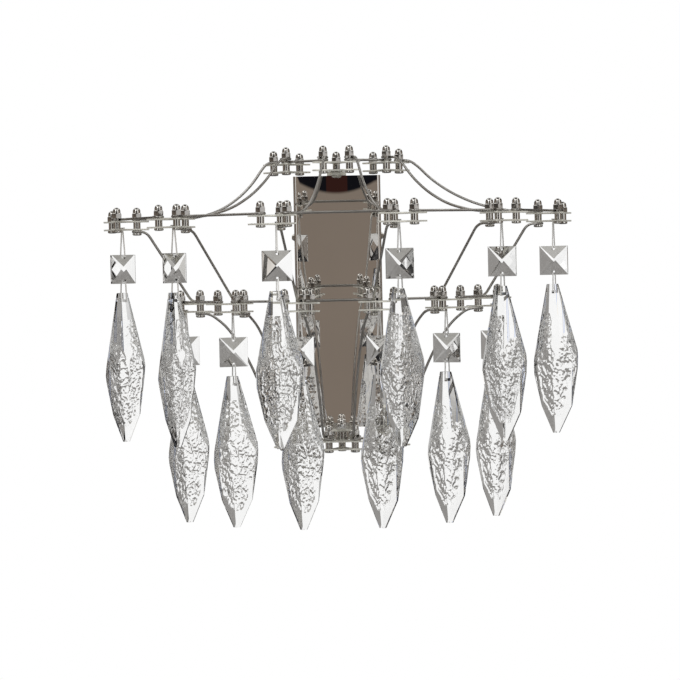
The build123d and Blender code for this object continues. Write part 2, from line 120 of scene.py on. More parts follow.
# How far from a corner each kind of rod starts to bend.
BEND_OF_RODS = {
    "top_ring_rods": 4 * MM,
    "wide_ring_rods": 4 * MM,
    "lower_ring_rods": 4 * MM,
    "bottom_ring_rods": 4 * MM,
    "canopy_rods": 20 * MM,
    "side_struts": 6 * MM,
    "basket_rods": 20 * MM,
}

# The photograph's camera.
CAMERA_DISTANCE = 2.075
EYE_LEVEL = 0.026
AIM_LEVEL = -0.030
FOCAL_MM = 141.0
SENSOR_MM = 36.0
ROLL_DEG = 1.2
CLIP_END = 20.0


# Materials

# How much finer the bump of metal is than its tone, and how deep the bump of a hard surface is.
METAL_BUMP_FINENESS = 12
SURFACE_BUMP_DEPTH = 0.0002
PLASTIC_TONE_SCALE = 180.0
PLASTIC_BUMP_SCALE = 1500.0
PLASTIC_BUMP = 0.15
PANE_TONES = ((0.93, 0.93, 0.92), (0.97, 0.97, 0.97))
PANE_TONE_SCALE = 300.0
CRYSTAL_TINTS = ((0.97, 0.97, 0.965), (0.995, 0.995, 0.99))
CRYSTAL_TINT_SCALE = 25.0
RIPPLE_DETAIL = 2.0
CRYSTAL_INDEX = 1.56
PRISM_INDEX = 1.60
PRISM_CLEAR = (0.97, 0.97, 0.97)
PRISM_SCALE = 60.0
PRISM_DISTORTION = 1.2

# Where along the wave each tint of the painted rainbow fringe stands.
PRISM_BANDS = (
    (0.60, (0.97, 0.97, 0.96)),
    (0.70, (1.00, 0.72, 0.38)),
    (0.76, (0.96, 0.95, 0.88)),
    (0.84, (0.34, 0.56, 1.00)),
    (0.92, (0.22, 0.28, 0.62)),
)


def new_material(name):
    material = bpy.data.materials.new(name)
    material.use_nodes = True
    shader = material.node_tree.nodes["Principled BSDF"]
    return material, material.node_tree, shader


def noise(tree, scale, detail=3.0, stretch=(1, 1, 1)):
    """Noise in the object's own metres."""
    place = tree.nodes.new("ShaderNodeTexCoord")
    mapping = tree.nodes.new("ShaderNodeMapping")
    mapping.inputs["Scale"].default_value = stretch
    texture = tree.nodes.new("ShaderNodeTexNoise")
    texture.inputs["Scale"].default_value = scale
    texture.inputs["Detail"].default_value = detail
    tree.links.new(place.outputs["Object"], mapping.inputs["Vector"])
    tree.links.new(mapping.outputs["Vector"], texture.inputs["Vector"])
    return texture.outputs["Fac"]


def ramp(tree, value, low, high, start=0.3, end=0.7):
    """A colour between low and high, as the value goes from start to end."""
    node = tree.nodes.new("ShaderNodeValToRGB")
    node.color_ramp.elements[0].position = start
    node.color_ramp.elements[0].color = (*low, 1)
    node.color_ramp.elements[1].position = end
    node.color_ramp.elements[1].color = (*high, 1)
    tree.links.new(value, node.inputs["Fac"])
    return node.outputs["Color"]


def add_bump(tree, shader, value, strength, depth):
    bump = tree.nodes.new("ShaderNodeBump")
    bump.inputs["Strength"].default_value = strength
    bump.inputs["Distance"].default_value = depth
    tree.links.new(value, bump.inputs["Height"])
    tree.links.new(bump.outputs["Normal"], shader.inputs["Normal"])


def metal(name, low, high, roughness, spread=0.06, grain=60.0, bump=0.0, metallic=1.0):
    """Plated metal with faint unevenness in its tone and polish."""
    material, tree, shader = new_material(name)
    shader.inputs["Metallic"].default_value = metallic
    value = noise(tree, grain)
    tree.links.new(ramp(tree, value, low, high), shader.inputs["Base Color"])
    rough = ramp(tree, value, (roughness,) * 3, (roughness + spread,) * 3)
    tree.links.new(rough, shader.inputs["Roughness"])
    if bump:
        add_bump(tree, shader, noise(tree, grain * METAL_BUMP_FINENESS), bump, SURFACE_BUMP_DEPTH)
    return material


def plastic(name, low, high, roughness):
    material, tree, shader = new_material(name)
    shader.inputs["Roughness"].default_value = roughness
    value = noise(tree, PLASTIC_TONE_SCALE)
    tree.links.new(ramp(tree, value, low, high), shader.inputs["Base Color"])
    add_bump(tree, shader, noise(tree, PLASTIC_BUMP_SCALE), PLASTIC_BUMP, SURFACE_BUMP_DEPTH)
    return material


def frosted_glass():
    material, tree, shader = new_material("frosted_pane")
    shader.inputs["Transmission Weight"].default_value = 0.6
    shader.inputs["Roughness"].default_value = 0.55
    tone = ramp(tree, noise(tree, PANE_TONE_SCALE), *PANE_TONES)
    tree.links.new(tone, shader.inputs["Base Color"])
    return material


def clear_glass(name, index):
    """Clear polished glass of this refractive index, its colour still to be linked."""
    material, tree, shader = new_material(name)
    shader.inputs["Transmission Weight"].default_value = 1.0
    shader.inputs["IOR"].default_value = index
    shader.inputs["Roughness"].default_value = 0.0
    return material, tree, shader


def crystal_glass(name, grain, strength, depth, stretch=(1, 1, 0.5)):
    """Clear lead glass with a faint ripple in its surface."""
    material, tree, shader = clear_glass(name, CRYSTAL_INDEX)
    tint = ramp(tree, noise(tree, CRYSTAL_TINT_SCALE), *CRYSTAL_TINTS)
    tree.links.new(tint, shader.inputs["Base Color"])
    add_bump(tree, shader, noise(tree, grain, RIPPLE_DETAIL, stretch), strength, depth)
    return material


def prism_glass():
    """Glass for the long side bevels, tinted in bands because the renderer doesn't split light."""
    material, tree, shader = clear_glass("prism_crystal", PRISM_INDEX)
    place = tree.nodes.new("ShaderNodeTexCoord")
    wave = tree.nodes.new("ShaderNodeTexWave")
    wave.bands_direction = "X"
    wave.inputs["Scale"].default_value = PRISM_SCALE
    wave.inputs["Distortion"].default_value = PRISM_DISTORTION
    tree.links.new(place.outputs["Object"], wave.inputs["Vector"])
    bands = tree.nodes.new("ShaderNodeValToRGB")
    stops = bands.color_ramp.elements
    stops[0].position, stops[0].color = 0.0, (*PRISM_CLEAR, 1)
    stops[1].position, stops[1].color = 1.0, (*PRISM_CLEAR, 1)
    for position, tone in PRISM_BANDS:
        stops.new(position).color = (*tone, 1)
    tree.links.new(wave.outputs["Fac"], bands.inputs["Fac"])
    tree.links.new(bands.outputs["Color"], shader.inputs["Base Color"])
    return material


MATERIALS = {
    "rod": metal("rod_chrome", (0.52, 0.505, 0.48), (0.66, 0.645, 0.62), 0.32),
    "plate": metal(
        "plate_chrome", (0.74, 0.73, 0.66), (0.84, 0.83, 0.76), 0.24, bump=0.05, metallic=0.5
    ),
    "hardware": metal("hardware_chrome", (0.74, 0.725, 0.70), (0.82, 0.805, 0.78), 0.10),
    "mirror": metal(
        "mirror_chrome", (0.90, 0.88, 0.86), (0.94, 0.92, 0.90), 0.004, spread=0.002, grain=20.0
    ),
    "steel": metal(
        "bracket_zinc", (0.50, 0.51, 0.53), (0.62, 0.63, 0.65), 0.35,
        spread=0.15, grain=90.0, bump=0.1, metallic=0.5,
    ),
    "wire": metal("strand_wire", (0.78, 0.77, 0.75), (0.88, 0.87, 0.85), 0.2, metallic=0.4),
    "board": plastic("led_board", (0.84, 0.84, 0.82), (0.90, 0.90, 0.88), 0.5),
    "driver": plastic("driver_case", (0.80, 0.80, 0.78), (0.86, 0.86, 0.84), 0.5),
    "terminal": plastic("terminal_block", (0.78, 0.78, 0.75), (0.85, 0.85, 0.82), 0.45),
    "pane": frosted_glass(),
    "crystal": crystal_glass("cut_crystal", grain=90.0, strength=0.10, depth=0.0005),
    "prism": prism_glass(),
    "beaten": crystal_glass(
        "beaten_crystal", grain=520.0, strength=0.3, depth=0.0006, stretch=(1, 1, 0.6)
    ),
}

# Each node's finish. The strands' nodes go by the start of their names, and the rest are plate.
FINISH = {
    "wall_bracket": "steel",
    "cover_box": "mirror",
    "frame_arms": "plate",
    "cover_side_screws": "hardware",
    "arm_screws": "hardware",
    "led_boards": "board",
    "diffusers": "pane",
    "led_driver": "driver",
    "terminal_block": "terminal",
}
FINISH_OF_STRAND = {"wires": "wire", "square": "crystal", "pendant": "crystal"}


def finish_of(name):
    for prefix, finish in FINISH_OF_STRAND.items():
        if name.startswith(prefix):
            return finish
    return FINISH.get(name, "plate")


def paint(obj, material):
    """Makes this the only material. Clearing an empty list would reset the faces' finishes."""
    if obj.data.materials:
        obj.data.materials.clear()
    obj.data.materials.append(material)


# Reading the frame


def solids_of(name):
    """Every solid of a node, as its welded points and, for each, the set of its neighbours."""
    mesh = bmesh.new()
    mesh.from_mesh(NODES[name].data)
    bmesh.ops.remove_doubles(mesh, verts=mesh.verts, dist=WELD)
    seen = set()
    solids = []
    for start in mesh.verts:
        if start in seen:
            continue
        island, todo = [], [start]
        seen.add(start)
        while todo:
            vert = todo.pop()
            island.append(vert)
            for edge in vert.link_edges:
                other = edge.other_vert(vert)
                if other not in seen:
                    seen.add(other)
                    todo.append(other)
        index = {v: i for i, v in enumerate(island)}
        near = [{index[e.other_vert(v)] for e in v.link_edges} for v in island]
        solids.append(([v.co.copy() for v in island], near))
    mesh.free()
    return solids


def centre_line(points, near):
    """The path of a four-sided bent rod: the middles of its rings, walked from one end."""
    for i in range(len(points)):
        for j in near[i]:
            for k in near[j]:
                for m in near[k] & near[i]:
                    ring = {i, j, k, m}
                    layers = layers_from(ring, near) if len(ring) == 4 else []
                    if layers and end_is_square(points, (i, j, k, m)):
                        return [sum((points[n] for n in layer), Vector()) / 4 for layer in layers]
    raise ValueError("no four-sided end")


def end_is_square(points, ring):
    sides = [(points[a] - points[b]).length for a, b in zip(ring, ring[1:] + ring[:1])]
    return all(abs(side - 2 * ROD_RADIUS) < ROD_SIDE_TOLERANCE for side in sides)


def layers_from(ring, near):
    """The rings of four points along a rod, or none where the walk doesn't stay four-sided."""
    layers, seen = [ring], set(ring)
    while True:
        layer = set().union(*(near[n] for n in layers[-1])) - seen
        if not layer:
            return layers if len(seen) == len(near) else []
        if len(layer) != 4:
            return []
        layers.append(layer)
        seen |= layer


def corners_of(points):
    """The lowest and the highest corner of the box round some points."""
    low = Vector(tuple(min(p[k] for p in points) for k in range(3)))
    high = Vector(tuple(max(p[k] for p in points) for k in range(3)))
    return low, high


def foot_and_height(points):
    """The middle of a solid's underside, and how tall the solid is."""
    low, high = corners_of(points)
    return Vector(((low.x + high.x) / 2, (low.y + high.y) / 2, low.z)), high.z - low.z


def flat_faced(name, place=None):
    """A node's mesh to work on, moved if a matrix is given, its triangles joined to flat faces."""
    work = bmesh.new()
    work.from_mesh(NODES[name].data)
    if place is not None:
        work.transform(place)
    bmesh.ops.remove_doubles(work, verts=work.verts, dist=WELD)
    bmesh.ops.dissolve_limit(work, angle_limit=FLAT_ANGLE, verts=work.verts, edges=work.edges)
    return work


# Building


def add_object(name, mesh, material, body="fixture"):
    obj = bpy.data.objects.new(name, mesh)
    bpy.context.scene.collection.objects.link(obj)
    paint(obj, MATERIALS[material])
    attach(obj, body)
    return obj


def mesh_of(work, name):
    """The finished mesh of a bmesh, which is freed."""
    mesh = bpy.data.meshes.new(name)
    work.to_mesh(mesh)
    work.free()
    return mesh


def mesh_from(name, build):
    """A mesh filled by a function that is given an empty bmesh."""
    work = bmesh.new()
    build(work)
    bmesh.ops.recalc_face_normals(work, faces=work.faces)
    return mesh_of(work, name)


def cut_at(work, place, normal):
    """Cuts every face where this plane crosses it."""
    everything = [*work.verts, *work.edges, *work.faces]
    bmesh.ops.bisect_plane(work, geom=everything, plane_co=place, plane_no=normal)


def toward(angle):
    """The level unit vector at an angle from +X."""
    return Vector((math.cos(angle), math.sin(angle), 0))


def hexagon_reach(corner, angle):
    """How far a hexagon reaches at an angle, from the radius of its corners."""
    sixth = math.pi / 3
    return corner / math.cos((angle + sixth / 2) % sixth - sixth / 2) * math.cos(sixth / 2)


def lathe(work, centre, profile, hexagonal=()):
    """Turns (radius, height) pairs about the upright axis through centre.

    A zero radius is a point. At the heights that are hexagonal, the radius is that of the corners.
    """
    rings = []
    for radius, height in profile:
        if radius == 0:
            rings.append([work.verts.new(centre + UP * height)])
            continue
        ring = []
        for k in range(TURNING_STEPS):
            angle = 2 * math.pi * k / TURNING_STEPS
            reach = hexagon_reach(radius, angle) if height in hexagonal else radius
            ring.append(work.verts.new(centre + toward(angle) * reach + UP * height))
        rings.append(ring)
    for near, far in zip(rings, rings[1:]):
        for k in range(TURNING_STEPS):
            j = (k + 1) % TURNING_STEPS
            corners = []
            for ring, at in ((near, k), (near, j), (far, j), (far, k)):
                vert = ring[at % len(ring)]
                if vert not in corners:
                    corners.append(vert)
            work.faces.new(corners)


def smooth(obj, angle=SHARP_ANGLE):
    for polygon in obj.data.polygons:
        polygon.use_smooth = True
    obj.data.set_sharp_from_angle(angle=math.radians(angle))


def rounded(path, radius):
    """The same path with every corner bent round, starting this far from it at most."""
    out = [path[0]]
    for before, at, after in zip(path, path[1:], path[2:]):
        reach = min(radius, (before - at).length / 2, (after - at).length / 2)
        start = at + (before - at).normalized() * reach
        end = at + (after - at).normalized() * reach
        for k in range(BEND_STEPS + 1):
            t = k / BEND_STEPS
            out.append(start * (1 - t) ** 2 + at * 2 * t * (1 - t) + end * t**2)
    return out + [path[-1]]


def round_rods(name, bend):
    """A node of four-sided rods as smoothly bent round rods, eyes included."""
    curve = bpy.data.curves.new(name, "CURVE")
    curve.dimensions = "3D"
    curve.bevel_depth = ROD_RADIUS
    curve.bevel_resolution = ROD_ROUNDNESS
    curve.use_fill_caps = True
    for points, near in solids_of(name):
        path = rounded(centre_line(points, near), bend)
        spline = curve.splines.new("POLY")
        spline.points.add(len(path) - 1)
        for point, place in zip(spline.points, path):
            point.co = (*place, 1)
    holder = bpy.data.objects.new(name + "_path", curve)
    bpy.context.scene.collection.objects.link(holder)
    bpy.context.view_layer.update()
    evaluated = holder.evaluated_get(bpy.context.evaluated_depsgraph_get())
    mesh = bpy.data.meshes.new_from_object(evaluated)
    bpy.data.objects.remove(holder)
    obj = add_object(name + "_round", mesh, "rod")
    smooth(obj, ROD_SHARP_ANGLE)
    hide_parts(name)


def add_hardware(node, build, angle=SHARP_ANGLE):
    """A node of small hardware, turned anew by a function that is given an empty bmesh."""
    name = node + "_round"
    obj = add_object(name, mesh_from(name, build), "hardware")
    smooth(obj, angle)
    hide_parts(node)


def acorn_nuts():
    def build(work):
        for points, _ in solids_of("acorn_nuts"):
            foot, height = foot_and_height(points)
            corner = NUT_FLAT / math.cos(math.pi / 6)
            profile = [(0, 0), (corner, 0), (corner, NUT_CHAMFER_FOOT)]
            profile += [(NUT_CHAMFER_RADIUS, NUT_HEX_HEIGHT), (NUT_CROWN, NUT_COLLAR_HEIGHT)]
            base = height - NUT_CROWN
            for k in range(CROWN_STEPS):
                angle = math.pi / 2 * k / CROWN_STEPS
                profile.append((NUT_CROWN * math.cos(angle), base + NUT_CROWN * math.sin(angle)))
            profile.append((0, base + NUT_CROWN))
            lathe(work, foot, profile, hexagonal=(0, NUT_CHAMFER_FOOT))

    add_hardware("acorn_nuts", build, NUT_SHARP_ANGLE)


def bolts():
    """Each is centred by its shank's end, because the box round five flats isn't centred on it."""

    def build(work):
        for points, _ in solids_of("bolts"):
            low, high = corners_of(points)
            shank_end = [p for p in points if p.z > high.z - SHANK_END_DEPTH]
            foot = sum(shank_end, Vector()) / len(shank_end)
            foot.z = low.z
            length = high.z - low.z
            lathe(work, foot, [*HEAD_OUTLINE, (SHANK_RADIUS, length), (0, length)])

    add_hardware("bolts", build)


def washers():
    def build(work):
        for points, _ in solids_of("washers"):
            foot, height = foot_and_height(points)
            rim = WASHER_RADIUS - WASHER_EDGE
            profile = [(WASHER_BORE_RADIUS, 0), (rim, 0), (WASHER_RADIUS, WASHER_EDGE)]
            profile += [(WASHER_RADIUS, height - WASHER_EDGE), (rim, height)]
            profile += [(WASHER_BORE_RADIUS, height), (WASHER_BORE_RADIUS, 0)]
            lathe(work, foot, profile)

    add_hardware("washers", build)


def circle_centre(a, m, b):
    """The middle of the level circle through three points."""
    squares = [p.x * p.x + p.y * p.y for p in (a, m, b)]
    spread = 2 * (a.x * (m.y - b.y) + m.x * (b.y - a.y) + b.x * (a.y - m.y))
    x = (squares[0] * (m.y - b.y) + squares[1] * (b.y - a.y) + squares[2] * (a.y - m.y)) / spread
    y = (squares[0] * (b.x - m.x) + squares[1] * (a.x - b.x) + squares[2] * (m.x - a.x)) / spread
    return Vector((x, y, 0))


def arc_through(a, m, b, steps):
    """Points along the circle through three level points, from a past m to b, without b."""
    centre = circle_centre(a, m, b)
    start, end = a - centre, b - centre
    turn = math.atan2(start.x * end.y - start.y * end.x, start.dot(end))
    return [centre + Matrix.Rotation(turn * k / steps, 3, "Z") @ start for k in range(steps)]


def plate_outline():
    """A three-pointed plate about its middle, a hollow side towards +X, with round tips."""
    points = []
    tip_middle = PLATE_TIP - PLATE_TIP_HALF
    for side in range(3):
        waist = math.radians(120 * side)
        before, after = waist - math.pi / 3, waist + math.pi / 3
        start = toward(before) * tip_middle + toward(before + math.pi / 2) * PLATE_TIP_HALF
        end = toward(after) * tip_middle - toward(after + math.pi / 2) * PLATE_TIP_HALF
        points += arc_through(start, toward(waist) * PLATE_WAIST, end, WAIST_STEPS)
        points.append(end)
        for step in range(1, TIP_STEPS):
            angle = math.pi * (step / TIP_STEPS - 0.5)
            outward = toward(after) * (tip_middle + PLATE_TIP_HALF * math.cos(angle))
            points.append(outward + toward(after + math.pi / 2) * PLATE_TIP_HALF * math.sin(angle))
    return points


def slab(work, outline, low, high):
    """A flat plate with slightly eased edges."""
    middle = sum(outline, Vector()) / len(outline)
    levels = ((low, PLATE_EDGE), (low + PLATE_EDGE, 0), (high - PLATE_EDGE, 0), (high, PLATE_EDGE))
    rings = []
    for height, inset in levels:
        ring = []
        for point in outline:
            away = point - middle
            away.z = 0
            place = point - away.normalized() * inset
            ring.append(work.verts.new((place.x, place.y, height)))
        rings.append(ring)
    for near, far in zip(rings, rings[1:]):
        for k in range(len(outline)):
            j = (k + 1) % len(outline)
            work.faces.new((near[k], near[j], far[j], far[k]))
    work.faces.new(list(reversed(rings[0])))
    work.faces.new(rings[-1])


def barrels(work, centre, turn, level):
    """The three round barrels that stand on a lower plate, in a finish of their own."""
    for k in range(3):
        angle = math.radians(60 + 120 * k)
        seat = centre + turn @ toward(angle) * BOLT_CIRCLE
        seat.z = level
        count = len(work.faces)
        lathe(work, seat, [(0, 0), (BARREL_RADIUS, 0), (BARREL_RADIUS, PLATE_GAP), (0, PLATE_GAP)])
        work.faces.ensure_lookup_table()
        for face in work.faces[count:]:
            face.material_index = BARREL_FINISH


def plates(name):
    """Plates with eased edges, each about its solid's own middle, and barrels on the lower ones."""
    outline = plate_outline()

    def build(work):
        for points, _ in solids_of(name):
            low, high = corners_of(points)
            flat = {(round(p.x, 6), round(p.y, 6)) for p in points}
            centre = Vector((sum(x for x, _ in flat), sum(y for _, y in flat), 0)) / len(flat)
            outward = (centre - AXIS).normalized()
            turn = Matrix.Rotation(math.atan2(outward.y, outward.x), 3, "Z")
            top = low.z + PLATE_THICKNESS
            slab(work, [centre + turn @ p for p in outline], low.z, top)
            if high.z - low.z > 2 * PLATE_THICKNESS:
                barrels(work, centre, turn, top)

    round_name = name + "_round"
    obj = add_object(round_name, mesh_from(round_name, build), "plate")
    obj.data.materials.append(MATERIALS["hardware"])
    smooth(obj)
    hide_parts(name)


def polished_box():
    """The CAD box with its front bowed slightly outwards, as polished sheet is."""
    work = flat_faced("cover_box")
    _, high = corners_of([v.co for v in work.verts])
    half = high.x - BOX_CORNER
    for k in range(1, BOX_CUTS):
        cut_at(work, Vector((half * (2 * k / BOX_CUTS - 1), 0, 0)), Vector((1, 0, 0)))
    work.normal_update()
    front = {v for f in work.faces if f.normal.y < BOX_FRONT_NORMAL for v in f.verts}
    for vert in front:
        if abs(vert.co.x) < half:
            vert.co.y -= BOX_BOW * (1 - (vert.co.x / half) ** 2)
    obj = add_object("polished_box", mesh_of(work, "polished_box"), "mirror")
    smooth(obj, BOX_SHARP_ANGLE)
    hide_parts("cover_box")


# Crystals

# The hammered part of an icicle's face, in millimetres right of the hole and up from the top.
SPLIT_PANEL = (
    (-7.8, -21), (-2.0, -22), (-1.2, -34), (-1.5, -46), (1.0, -54), (-0.5, -71), (3.0, -59),
    (6.0, -47), (8.6, -38), (12.5, -37), (15.5, -47), (16.4, -56), (12.7, -69), (9.4, -81),
    (6.0, -93), (3.0, -101), (-3.0, -100), (-9.4, -88.5), (-12.8, -69), (-13.2, -56), (-9.8, -37),
)
FULL_PANEL = (
    (-7.5, -18), (0.5, -19), (0.2, -37), (2.5, -50), (4.8, -38), (4.6, -14), (7.0, -12),
    (11.5, -34), (15.5, -50), (16.4, -62), (11.5, -78), (8.0, -90), (3.5, -100), (-3.0, -100),
    (-9.4, -88), (-13.4, -68), (-13.4, -54), (-10.5, -38),
)
TURNED_PANEL = tuple((-x, z) for x, z in SPLIT_PANEL)

# Each kind of icicle: its panel, the seed of its hammering, and the side of its prism bevel.
ICICLE_KINDS = {
    "split": (SPLIT_PANEL, 3.0, 1),
    "turned": (TURNED_PANEL, 40.0, -1),
    "full": (FULL_PANEL, 21.0, -1),
}
KIND_OF_STRAND = {1: "turned", 2: "turned", 3: "full", 4: "full", 7: "full", 8: "full", 9: "full"}
OTHER_KIND = "split"
ICICLE_FINISHES = ("crystal", "prism", "beaten")

# A facet is a bevel if its normal leans sideways by more, and forward by less, than these.
BEVEL_SIDEWAYS = 0.45
BEVEL_FORWARD = 0.93

# Points nearer than this to the stone's middle plane are its edge, and stay where they are.
EDGE_HALF = 1.6 * MM

# The hammering: grooves of two sizes along lines that swirl, inside a panel with a wavy outline.
GRID_STEP = 0.6 * MM
WARP_SIZE = 4 * MM
WARP_REACH = 1.2 * MM
SWIRL_SIZE = 3.2 * MM
SWIRL = 2.4 * MM
UPRIGHT_STRETCH = 0.6
FOLD_SIZE = 3.7 * MM
FOLD_DEPTH = 1.2 * MM
FOLD_WIDTH = 0.24
CRINKLE_SIZE = 2.0 * MM
CRINKLE_DEPTH = 0.5 * MM
CRINKLE_WIDTH = 0.34
CREASE_POWER = 1.5
PANEL_DEPTH = 0.25 * MM
PANEL_EDGE = 0.5 * MM
BACK_SEED_STEP = 9
BACK_SHARE = 0.2


def strand_places():
    """Strand number to the point it swings about and its turn about the upright, from the joints."""
    places = {}
    for joint in frame["joints"]:
        if joint["name"].startswith("strand_"):
            x, y, _ = joint["axis"]
            number = int(joint["name"].split("_")[1])
            places[number] = (Vector(joint["pos_m"]), math.atan2(-x, y))
    return places


def stone_place(number, node):
    """The matrix from a stone's own frame, with its hole's upright as Z and its top at zero."""
    pivot, turn = strand_places()[number]
    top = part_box(node)[1].z
    return Matrix.Translation((pivot.x, pivot.y, top)) @ Matrix.Rotation(turn, 4, "Z")


def inside_distance(x, z, panel):
    """How far a point lies inside a panel's outline, in metres; negative outside."""
    inside, nearest = False, math.inf
    for (ax, az), (bx, bz) in zip(panel, panel[1:] + panel[:1]):
        ax, az, bx, bz = ax * MM, az * MM, bx * MM, bz * MM
        if (az > z) != (bz > z) and x < (bx - ax) * (z - az) / (bz - az) + ax:
            inside = not inside
        share = ((x - ax) * (bx - ax) + (z - az) * (bz - az)) / ((bx - ax) ** 2 + (bz - az) ** 2)
        share = min(1, max(0, share))
        gap = math.hypot(x - ax - share * (bx - ax), z - az - share * (bz - az))
        nearest = min(nearest, gap)
    return nearest if inside else -nearest


def crease(value, width):
    """A narrow groove where the noise crosses zero."""
    return max(0.0, 1 - abs(value) / width) ** CREASE_POWER


def hammered(place, panel, seed):
    """How deep the glass is beaten in at a place on the face."""
    shift_x, shift_y, shift_z = Vector((seed, 0, 0)), Vector((0, seed, 0)), Vector((0, 0, seed))
    warp = noise_field.noise_vector(place / WARP_SIZE + shift_x) * WARP_REACH
    inset = inside_distance(place.x + warp.x, place.z + warp.z, panel)
    if inset <= 0:
        return 0.0
    edge = min(1, inset / PANEL_EDGE)
    along = Vector((place.x, place.y, place.z * UPRIGHT_STRETCH))
    along += noise_field.noise_vector(along / SWIRL_SIZE + shift_y) * SWIRL
    fold = crease(noise_field.noise(along / FOLD_SIZE + shift_x), FOLD_WIDTH)
    crinkle = crease(noise_field.noise(along / CRINKLE_SIZE + shift_z), CRINKLE_WIDTH)
    return edge * (PANEL_DEPTH + FOLD_DEPTH * fold + CRINKLE_DEPTH * crinkle)


def cut_grid(work):
    """Cuts every face along a grid, so that it can be beaten in."""
    low, high = corners_of([v.co for v in work.verts])
    for axis in (0, 2):
        count = int((high[axis] - low[axis]) / GRID_STEP)
        for k in range(1, count):
            at, across = Vector(), Vector()
            at[axis] = low[axis] + (high[axis] - low[axis]) * k / count
            across[axis] = 1
            cut_at(work, at, across)


def beat_in(work, panel, seed):
    """Beats the panel into both faces, the front one deeper, and returns the points it moved."""
    beaten = {}
    for vert in work.verts:
        if abs(vert.co.y) < EDGE_HALF:
            continue
        in_front = vert.co.y < 0
        depth = hammered(vert.co, panel, seed if in_front else seed + BACK_SEED_STEP)
        if depth:
            beaten[vert] = depth if in_front else depth * BACK_SHARE
    for vert, depth in beaten.items():
        vert.co.y -= math.copysign(depth, vert.co.y)
    return beaten


def finish_of_facet(face, prism_side):
    """Beaten where it is smooth, a prism on the bevels of one side, and clear crystal elsewhere."""
    if face.smooth:
        return ICICLE_FINISHES.index("beaten")
    bevel = abs(face.normal.x) > BEVEL_SIDEWAYS and abs(face.normal.y) < BEVEL_FORWARD
    if bevel and face.calc_center_median().x * prism_side > 0:
        return ICICLE_FINISHES.index("prism")
    return ICICLE_FINISHES.index("crystal")


def icicle_mesh(name, panel, seed, prism_side):
    """The CAD icicle in its own frame, its facets kept and its panel beaten in on both faces."""
    work = flat_faced("pendant_1", stone_place(1, "pendant_1").inverted())
    cut_grid(work)
    work.normal_update()
    beaten = beat_in(work, panel, seed)
    for face in work.faces:
        face.smooth = any(v in beaten for v in face.verts)
        face.material_index = finish_of_facet(face, prism_side)
    mesh = mesh_of(work, name)
    for finish in ICICLE_FINISHES:
        mesh.materials.append(MATERIALS[finish])
    return mesh


def icicles():
    """Every icicle is a copy of its kind's mesh, carried to its strand."""
    meshes = {kind: icicle_mesh("icicle_" + kind, *form) for kind, form in ICICLE_KINDS.items()}
    for number in strand_places():
        node = f"pendant_{number}"
        mesh = meshes[KIND_OF_STRAND.get(number, OTHER_KIND)].copy()
        mesh.transform(stone_place(number, node))
        obj = bpy.data.objects.new(f"icicle_{number}", mesh)
        bpy.context.scene.collection.objects.link(obj)
        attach(obj, f"drop_{number}")
        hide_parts(node)


# Studio

# The world is white to the camera and evenly pale to matt surfaces. Metal and glass are each shown
# a room of their own, and not that white background: this gives them the photograph's dark tones.
# A span is two parts of a unit direction, with X to the right, Y away from the camera and Z up:
# what it is named for starts at the first and is full at the second.
SHEET = (1.0, 1.0, 1.0)
AROUND = (0.85, 0.85, 0.85)

# The wall before the object: brown-grey, under a dark arched band with a brown middle, under a
# pale stretch. The box mirrors it.
WALL = (0.205, 0.170, 0.140)
BAND = (0.006, 0.006, 0.008)
BAND_MIDDLE = (0.030, 0.011, 0.009)
BAND_FOOT = -0.0748
BAND_SAG = 0.58
BAND_EDGE = 0.0006
BAND_MIDDLE_HALF = 0.024
BAND_FOOT_SPAN = (BAND_FOOT - BAND_EDGE, BAND_FOOT + BAND_EDGE)
BAND_MIDDLE_SPAN = (BAND_MIDDLE_HALF, BAND_MIDDLE_HALF + BAND_EDGE)
BAND_TOP_SPAN = (0.30, 0.40)

# What metal shows: dark cloth with pale strips left, right and above, the wall's brown far out to
# the sides, a dark tone behind the object, and the wall before it.
CLOTH = (0.035, 0.032, 0.030)
STRIP = (1.10, 1.08, 1.04)
BEHIND_METAL = (0.055, 0.052, 0.047)
STRIP_INNER_SPAN = (0.30, 0.38)
STRIP_OUTER_SPAN = (0.62, 0.54)
STRIP_ABOVE_LOWER_SPAN = (0.68, 0.72)
STRIP_ABOVE_UPPER_SPAN = (0.88, 0.84)
SIDE_WALL_SPAN = (0.80, 0.95)
BEHIND_METAL_SPAN = (0.60, 0.80)
WALL_IN_METAL_SPAN = (-0.90, -0.95)

# What glass shows: the white sheet behind the object, a rim of patches and greys round it, dark
# and pale patches further out under a pale ceiling, and the wall before the object. The patches'
# own span is of their noise's value.
PATCH_SCALE = 3.2
PATCH_DETAIL = 1.5
PATCH_SPAN = (0.44, 0.56)
PATCH_DARK = (0.012, 0.012, 0.012)
PATCH_PALE = (0.70, 0.69, 0.67)
RIM_DARK = (0.04, 0.04, 0.04)
RIM_PALE = (0.85, 0.85, 0.85)
CEILING = (0.75, 0.75, 0.75)
GREY_RIGHT = (0.30, 0.29, 0.28)
GREY_BELOW = (0.36, 0.35, 0.33)
GREY_ABOVE = (0.26, 0.25, 0.24)
SHEET_SPAN = (0.86, 0.88)
GREY_RIGHT_SPAN = (0.25, 0.28)
GREY_BELOW_SPAN = (-0.22, -0.25)
GREY_ABOVE_SPAN = (0.12, 0.15)
CEILING_SPAN = (0.75, 0.90)
RIM_SPAN = (0.74, 0.80)
WALL_IN_GLASS_SPAN = (-0.80, -0.90)

# The floor, and how dark it is where metal and glass show it.
FLOOR_LEVEL = -0.45
FLOOR_REACH = 1.6
FLOOR_BACK = 0.62
FLOOR_ROUGHNESS = 0.9
FLOOR_WHITE = (0.93, 0.93, 0.93)
FLOOR_IN_METAL = (0.12, 0.115, 0.11)
FLOOR_IN_GLASS = (0.60, 0.60, 0.59)

